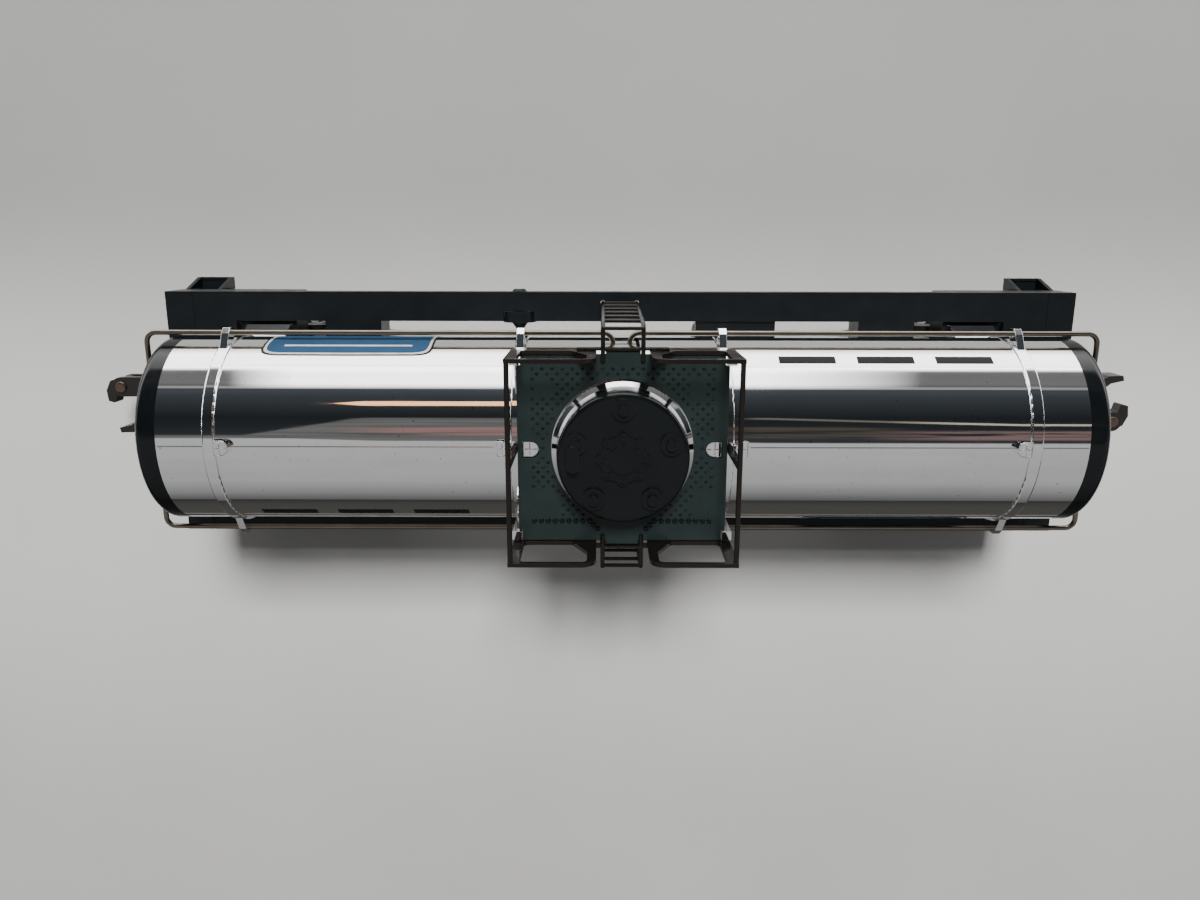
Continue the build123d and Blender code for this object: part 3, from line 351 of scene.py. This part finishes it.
# ======================= added pieces =======================
class Mesh:
    """Collects vertices and faces in millimetres for one added piece."""

    def __init__(self):
        self.points = []
        self.faces = []

    def ring(self, points):
        """Adds points and returns their numbers."""
        first = len(self.points)
        self.points += points
        return list(range(first, first + len(points)))

    def bridge(self, a, b, closed=True):
        """Strip of four-sided faces between two rows of points."""
        count = len(a)
        for i in range(count if closed else count - 1):
            j = (i + 1) % count
            self.faces.append((a[i], a[j], b[j], b[i]))

    def build(self, name, material, smooth=True):
        """Turns the mesh into a piece that rides on the car body."""
        data = bpy.data.meshes.new(name)
        data.from_pydata([tuple(c * MM for c in p) for p in self.points], [], self.faces)
        data.validate()
        data.materials.append(material)
        if smooth:
            data.shade_smooth()
        piece = bpy.data.objects.new(name, data)
        bpy.context.scene.collection.objects.link(piece)
        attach(piece, "car_body")


R = TANK_R / MM
AXIS = AXIS_Z / MM
PLATE = PLATE_Z / MM


def on_barrel(x, angle, lift):
    """Point on the barrel: angle in degrees from the top line towards +Y."""
    turn = radians(angle)
    return (x, (R + lift) * sin(turn), AXIS + (R + lift) * cos(turn))


# ---- raised tread on the platform ----
SUNK = 0.02                # how far an added piece starts below the surface it stands on
STUD_STEP = 2.2
STUDS_PER_SIDE = 9
ROW_STEP = 1.1
ROWS = 31
FAR_ROW_Y = 18.0
TREAD_HALF_X = 20.2
STUD_HALF_X, STUD_HALF_Y = 0.54, 0.432
STUD_TOP_X, STUD_TOP_Y = 0.189, 0.1512
STUD_H = 0.32
DOME_CLEAR = 16.6          # the tread leaves the dome free, and the lugs beside it
LUG_CLEAR_X, LUG_CLEAR_HALF_Y = 17.6, 2.7
# worn spots without tread: middle and half size, along X and Y
SMOOTH_SPOTS = ((16.6, 13.6, 2.3, 2.6), (-17.2, 14.0, 2.3, 2.2),
                (-17.6, -12.4, 4.0, 3.4), (18.0, -12.6, 3.0, 3.6))


def stud(mesh, x, y):
    """Low four-sided stud with a small flat top, points towards the axes."""
    rings = []
    for along, across, height in ((STUD_HALF_X, STUD_HALF_Y, -SUNK), (STUD_TOP_X, STUD_TOP_Y, STUD_H)):
        z = PLATE + height
        rings.append(mesh.ring([(x + along, y, z), (x, y + across, z), (x - along, y, z), (x, y - across, z)]))
    mesh.bridge(*rings)
    mesh.faces.append(tuple(rings[-1]))


def tread_here(x, y):
    if hypot(x, y) < DOME_CLEAR or (abs(x) > LUG_CLEAR_X and abs(y) < LUG_CLEAR_HALF_Y):
        return False
    return all(((x - cx) / w) ** 2 + ((y - cy) / h) ** 2 > 1 for cx, cy, w, h in SMOOTH_SPOTS)


tread = Mesh()
for row in range(ROWS):
    y = FAR_ROW_Y - row * ROW_STEP
    for k in range(-STUDS_PER_SIDE, STUDS_PER_SIDE + 1):
        x = STUD_STEP * (k + 0.5 * (row % 2))
        if abs(x) < TREAD_HALF_X and tread_here(x, y):
            stud(tread, x, y)
# painted shade and highlight: the studs and beads are darker than the platform, standing in for the shade on
# their faces turned from the light, and get bright edges as painted highlight
stud_shade_and_highlight = moulded("tread_painted_shade_and_highlight", (0.003, 0.0055, 0.006), 0.2,
                     edge=0.3, grain=0.05, dust=0.02, lift=6.0)
tread.build("platform_tread", stud_shade_and_highlight, smooth=False)

# ---- beaded lines along the near edge of the platform ----
BEAD_ROW_Y = -16.4
BEAD_ROW_X = 7.3           # first bead of each row, by the ladder
BEAD_STEP = 1.55
BEAD_COUNT = 9
BEAD_PROFILE = ((0.68, -SUNK), (0.58, 0.24), (0.32, 0.42))      # radius and height
beads = Mesh()
bead_places = [(side * (BEAD_ROW_X + BEAD_STEP * k), BEAD_ROW_Y) for side in (-1, 1) for k in range(BEAD_COUNT)]
# two more beads on each side turn in towards the ladder
bead_places += [(side * (6.4 - 1.0 * k), -17.3 - 0.9 * k) for side in (-1, 1) for k in range(2)]
for x, y in bead_places:
    rings = []
    for radius, height in BEAD_PROFILE:
        rings.append(beads.ring([(x + radius * cos(t * pi / 4), y + radius * sin(t * pi / 4), PLATE + height)
                                 for t in range(8)]))
    for lower, upper in zip(rings, rings[1:]):
        beads.bridge(lower, upper)
    beads.faces.append(tuple(rings[-1]))
beads.build("platform_beads", stud_shade_and_highlight)

# ---- parting seam along the top of the tank ----
detail_chrome = chrome("chrome_details", barrel=False)
SEAM_DEGREES = 0.42        # half width of the seam
SEAM_PROFILE = ((-1, 0.0), (-0.5, 0.06), (0, 0.09), (0.5, 0.06), (1, 0.0))      # share of that, and height
SEAM_END = BARREL_END / MM - 0.3
seam = Mesh()
seam_rows = [seam.ring([on_barrel(x, share * SEAM_DEGREES, lift) for share, lift in SEAM_PROFILE])
             for x in (-SEAM_END, SEAM_END)]
seam.bridge(*seam_rows, closed=False)
seam.build("tank_seam", detail_chrome)


TRIM_SIDES = 6


def trim_line(mesh, path, radius, closed=False):
    """Round line of trim along a path that lies in a level plane."""
    rings = []
    count = len(path)
    for i, point in enumerate(path):
        before = path[i - 1] if i > 0 or closed else point
        after = path[(i + 1) % count] if i < count - 1 or closed else point
        run = Vector((after[0] - before[0], after[1] - before[1], 0)).normalized()
        side = Vector((-run.y, run.x, 0))
        turns = [t * 2 * pi / TRIM_SIDES for t in range(TRIM_SIDES)]
        rings.append(mesh.ring([(point[0] + side.x * radius * cos(turn), point[1] + side.y * radius * cos(turn),
                                 point[2] + radius * sin(turn)) for turn in turns]))
    for a, b in zip(rings, rings[1:]):
        mesh.bridge(a, b)
    if closed:
        mesh.bridge(rings[-1], rings[0])
    else:
        mesh.faces.append(tuple(reversed(rings[0])))
        mesh.faces.append(tuple(rings[-1]))


LUG_Z = AXIS + 24.0
LUG_WIDTH = 3.5
LUG_INSET = 0.10           # the rim line runs this far inside the lug's edge
LUGS = [(side * x, length) for side in (-1, 1) for x, length in ((22.0, 3.5), (27.9, 2.9), (90.9, 3.3))]


def lug_outline(x_flat, length, turn):
    """Rim of a lug with one flat end and one round end, which points towards mid-wagon."""
    z = LUG_Z - 0.05
    half = LUG_WIDTH / 2 - LUG_INSET
    x_round = x_flat - turn * (length - LUG_WIDTH / 2)
    path = [(x_flat - turn * LUG_INSET, -half, z), (x_flat - turn * LUG_INSET, half, z)]
    path += [(x_round - turn * half * sin(t * pi / 8), half * cos(t * pi / 8), z) for t in range(9)]
    return path


lug_trim = Mesh()
for x_flat, length in LUGS:
    turn = 1 if x_flat > 0 else -1
    trim_line(lug_trim, lug_outline(x_flat, length, turn), 0.13, closed=True)
    trim_line(lug_trim, [(x_flat - turn * 0.3, 0, LUG_Z), (x_flat - turn * (length - 0.3), 0, LUG_Z)], 0.10)
    middle = x_flat - turn * length * 0.42
    trim_line(lug_trim, [(middle, -1.5, LUG_Z), (middle, 1.5, LUG_Z)], 0.09)
lug_trim.build("lug_trim", detail_chrome)


# ---- printed panels and bars, wrapped on the barrel ----
SHEET_COLUMNS = 4


def wrapped_sheet(mesh, x_left, x_right, mid_angle, half_height, lift, rows=28):
    """Sheet on the barrel; x_left and x_right give its edges at a height from the sheet's middle, in mm."""
    bands = []
    for i in range(rows + 1):
        height = -half_height * cos(pi * i / rows)
        angle = mid_angle + degrees(height / R)
        left, right = x_left(height), x_right(height)
        bands.append(mesh.ring([on_barrel(left + (right - left) * k / SHEET_COLUMNS, angle, lift)
                                for k in range(SHEET_COLUMNS + 1)]))
    for a, b in zip(bands, bands[1:]):
        mesh.bridge(a, b, closed=False)


def panel_half_width(half_w, half_h):
    """Half width of a rounded panel as a function of the height from its middle."""
    def width(height):
        share = min(1.0, abs(height) / half_h)
        return half_w * (1 - share ** PANEL_FULLNESS) ** (1 / PANEL_FULLNESS)
    return width


blue_ink = printed("blue_ink", (0.035, 0.085, 0.16), spec=0.0)
dark_ink = printed("dark_ink", (0.012, 0.012, 0.013), rough=0.28)
pale_ink = printed("pale_ink", (0.66, 0.65, 0.60))
PANEL_X = 64.0
PANEL_HALF_W = 20.0
PANEL_HALF_H = 12.0
PANEL_FULLNESS = 12.0      # 2 would make it an ellipse; this is a rectangle with rounded corners
# ink films of a panel: name, ink, distance inside the panel's outline, height over the barrel
PANEL_LAYERS = (("edge", dark_ink, 0.0, 0.030),
                ("border", pale_ink, 0.5, 0.042),
                ("field", blue_ink, 1.1, 0.054))
STRIPE_LIFT = 0.066
STRIPE_HEIGHT = 7.6        # from the panel's middle to each stripe
STRIPE_HALF_H = 0.4
STRIPE_HALF_W = 15.0
for place, side in (("far", 1), ("near", -1)):
    middle = -side * PANEL_X
    for part, ink, inset, lift in PANEL_LAYERS:
        width = panel_half_width(PANEL_HALF_W - inset, PANEL_HALF_H - inset)
        sheet = Mesh()
        wrapped_sheet(sheet, lambda h: middle - width(h), lambda h: middle + width(h), side * 90,
                      PANEL_HALF_H - inset, lift)
        sheet.build(f"panel_{part}_{place}", ink)
    # a thin pale stripe near the top and the bottom
    stripes = Mesh()
    for height in (-STRIPE_HEIGHT, STRIPE_HEIGHT):
        wrapped_sheet(stripes, lambda h: middle - STRIPE_HALF_W, lambda h: middle + STRIPE_HALF_W,
                      side * 90 + degrees(height / R), STRIPE_HALF_H, STRIPE_LIFT, rows=6)
    stripes.build(f"panel_stripes_{place}", pale_ink)

BAR_X = 60.5
BAR_ANGLE = 54.5
BAR_SHIFT = 1.7            # the far row sits a little lower than the near one
BAR_HALF_H = 1.2
BAR_HALF_W = 6.5
BAR_LIFT = 0.035
BAR_STEP = 18.0
BAR_COUNT = 3
for place, side in (("far", 1), ("near", -1)):
    bars = Mesh()
    for k in range(BAR_COUNT):
        middle = side * BAR_X + BAR_STEP * (k - (BAR_COUNT - 1) / 2)
        wrapped_sheet(bars, lambda h: middle - BAR_HALF_W, lambda h: middle + BAR_HALF_W,
                      side * BAR_ANGLE + BAR_SHIFT, BAR_HALF_H, BAR_LIFT, rows=10)
    bars.build(f"plain_bars_{place}", dark_ink)


# ======================= stage, light, camera =======================
def stage_plane(half):
    """Square floor, half metres from its middle to each side."""
    mesh = bpy.data.meshes.new("floor")
    corners = [(-half, -half, 0), (half, -half, 0), (half, half, 0), (-half, half, 0)]
    mesh.from_pydata(corners, [], [(0, 1, 2, 3)])
    floor = bpy.data.objects.new("floor", mesh)
    bpy.context.scene.collection.objects.link(floor)
    mesh.materials.append(floor_paper("pale_floor"))


def soft_lamp(name, place, target, size, watts):
    """Area lamp that lights the wagon but is not mirrored in the plating."""
    lamp = bpy.data.lights.new(name, "AREA")
    lamp.shape = "RECTANGLE"
    lamp.size, lamp.size_y = size
    lamp.energy = watts
    lamp_object = bpy.data.objects.new(name, lamp)
    lamp_object.location = place
    lamp_object.rotation_euler = (Vector(target) - Vector(place)).to_track_quat("-Z", "Y").to_euler()
    lamp_object.visible_glossy = False
    bpy.context.scene.collection.objects.link(lamp_object)


# What the plating sees round the wagon: degrees from straight up, positive towards +Y, and brightness there.
SKY_BANDS = ((-180, 0.10), (-120, 0.09), (-95, 0.10), (-88, 0.14), (-77, 0.25), (-66, 0.34), (-58, 0.42),
             (-30, 0.465), (-6, 0.52), (-3, 0.52),      # pale wall
             (-1, 0.032), (10, 0.022), (24, 0.017), (36, 0.031), (50, 0.048), (59.3, 0.075),    # dark gap
             (63.3, 2.6), (67, 4.0), (80, 3.8), (86, 5.0), (108, 6.0),      # window side
             (116, 1.4), (124, 0.6), (135, 0.5), (180, 0.20))
SKY_PEAK = max(level for _, level in SKY_BANDS)


def sky_tone(red, green, blue):
    """Brightness up to SKY_PEAK, as a colour for the world."""
    return red / SKY_PEAK, green / SKY_PEAK, blue / SKY_PEAK


def room():
    """Pale wall on the near side, dark gap overhead with a warm lamp line, bright window side."""
    world = bpy.data.worlds.new("room")
    bpy.context.scene.world = world
    world.use_nodes = True
    g = Graph(world.node_tree)
    background = g.tree.nodes["Background"]
    heading = g.split(g.texture.outputs["Generated"])
    angle = g.math("MULTIPLY", g.math("ARCTAN2", heading[1], heading[2]), 180 / pi)
    ramp = g.add("ShaderNodeValToRGB")
    g.link(g.spread(angle, -180, 180), ramp.inputs["Fac"])
    stops = ramp.color_ramp.elements
    stops[0].position = 0.0
    stops[1].position = 1.0
    for degree, _ in SKY_BANDS[1:-1]:
        stops.new((degree + 180) / 360)
    for stop, (_, level) in zip(stops, SKY_BANDS):
        cool = 0.3 if level < 0.1 else 0.0      # the dark parts are a little bluish
        stop.color = (*sky_tone(level, level * (1 + cool / 2), level * (1 + cool)), 1)
    sky = ramp.outputs["Color"]
    side = heading[0]
    # the bright side fades towards both ends of the wagon
    fade = g.math("ADD", g.spread(side, 0.17, 0.33, 0.0, 0.955), g.spread(side, -0.32, -0.38, 0.0, 0.955))
    sky = g.mix(g.times(fade, g.band(angle, 60, 88, 4)), sky, BLACK)
    cloud = g.noise(0.25, detail=4.0, stretch=(0.6, 1, 1), source="Generated")
    sky = g.mix(g.spread(cloud, 0.3, 0.7, 0.0, 0.10), sky, BLACK)
    # the dark gap reaches further to the near side towards the right end
    low_edge = g.math("ADD", g.spread(side, -0.33, -0.24, -2.0, -5.0), g.spread(side, 0.0, 0.18, 0.0, -2.1))
    past_edge = g.math("SUBTRACT", angle, low_edge)
    above = g.times(g.spread(past_edge, -0.8, 0.8), g.spread(angle, 3.0, 1.0))
    sky = g.mix(above, sky, sky_tone(0.034, 0.036, 0.040))
    # a grey wedge in the left part of the gap, widening towards mid-wagon
    streaks = g.noise(0.05, detail=3.0, stretch=(0.12, 1, 1), source="Generated")
    wedge_top = g.math("MINIMUM", g.spread(side, -0.37, -0.26, 2.0, 23.5),
                       g.spread(side, -0.27, -0.12, 22.5, 28.0))
    wedge = g.times(g.spread(g.math("SUBTRACT", wedge_top, angle), 0, 1.6),
                    g.spread(past_edge, -0.6, 0.6), g.spread(side, 0.02, 0.0))
    sky = g.mix(g.times(wedge, g.spread(streaks, 0.3, 0.6, 0.5, 1.0)), sky, sky_tone(0.155, 0.155, 0.15))
    # a reddish flush over its lower part
    flush = g.times(g.band(angle, 1.0, 11.0, 1.5), g.spread(side, -0.29, -0.20), g.spread(side, 0.0, -0.02),
                    g.spread(streaks, 0.38, 0.52))
    sky = g.mix(g.times(flush, 0.85), sky, sky_tone(0.36, 0.19, 0.17))
    # brownish clutter and one slanting pale edge in the right part of the gap
    rusty = g.times(g.band(angle, -2.0, 13.0, 2.5), g.band(side, 0.14, 0.30, 0.04),
                    g.spread(streaks, 0.4, 0.6))
    sky = g.mix(g.times(rusty, 0.7), sky, sky_tone(0.10, 0.085, 0.065))
    sleeve = g.times(g.band(angle, -3.0, 8.0, 1.5), g.spread(side, 0.27, 0.37), g.spread(streaks, 0.36, 0.5))
    sky = g.mix(g.times(sleeve, 0.85), sky, sky_tone(0.24, 0.155, 0.145))
    off_edge = g.math("ABSOLUTE", g.math("SUBTRACT", angle, g.spread(side, 0.18, 0.42, 22.5, 15.5)))
    pale = g.times(g.spread(off_edge, 1.3, 0.9), g.spread(side, 0.15, 0.17))
    sky = g.mix(g.times(pale, g.spread(side, 0.30, 0.37, 0.25, 1.0)), sky, sky_tone(0.60, 0.52, 0.40))
    # the warm lamp line in the left part, tapering off towards that end
    half_line = g.spread(side, -0.29, -0.255, -0.4, 2.7)
    off_line = g.math("ABSOLUTE", g.math("SUBTRACT", angle, 40.5))
    line = g.times(g.spread(g.math("SUBTRACT", half_line, off_line), -0.15, 0.15),
                   g.spread(side, -0.02, -0.04))
    sky = g.mix(line, sky, sky_tone(2.1, 1.15, 0.58))
    # the camera itself looks at a plain pale wall, and matt surfaces get an even light
    rays = g.add("ShaderNodeLightPath")
    sky = g.mix(rays.outputs["Is Camera Ray"], sky, sky_tone(0.42, 0.42, 0.415))
    even = g.mix(g.spread(heading[1], -0.6, 0.9), sky_tone(0.085, 0.085, 0.085), sky_tone(0.16, 0.16, 0.16))
    g.link(g.mix(rays.outputs["Is Diffuse Ray"], sky, even), background.inputs["Color"])
    background.inputs["Strength"].default_value = SKY_PEAK


stage_plane(3.0)
room()
soft_lamp("window", (0.05, 0.580, 1.010), (0, -0.057, 0.0), (0.28, 0.27), 22.0)
soft_lamp("ceiling", (-0.10, -0.20, 0.9), (0, -0.10, 0.0), (0.5, 0.4), 0.15)

camera_data = bpy.data.cameras.new("camera")
camera = bpy.data.objects.new("camera", camera_data)
bpy.context.scene.collection.objects.link(camera)
bpy.context.scene.camera = camera
camera_data.sensor_width = 36
camera_data.lens = 27.19
camera_data.clip_start = 0.01
camera.location = (-0.2002 * TANK_R, 2.0383 * TANK_R, AXIS_Z + 9.8774 * TANK_R)
TILT, YAW, ROLL = 0.2284, -0.0025, -0.0022      # radians, about X, Y and Z
camera.rotation_mode = "QUATERNION"
camera.rotation_quaternion = (Matrix.Rotation(-TILT, 3, "X") @ Matrix.Rotation(-YAW, 3, "Y")
                              @ Matrix.Rotation(-ROLL, 3, "Z")).to_quaternion()
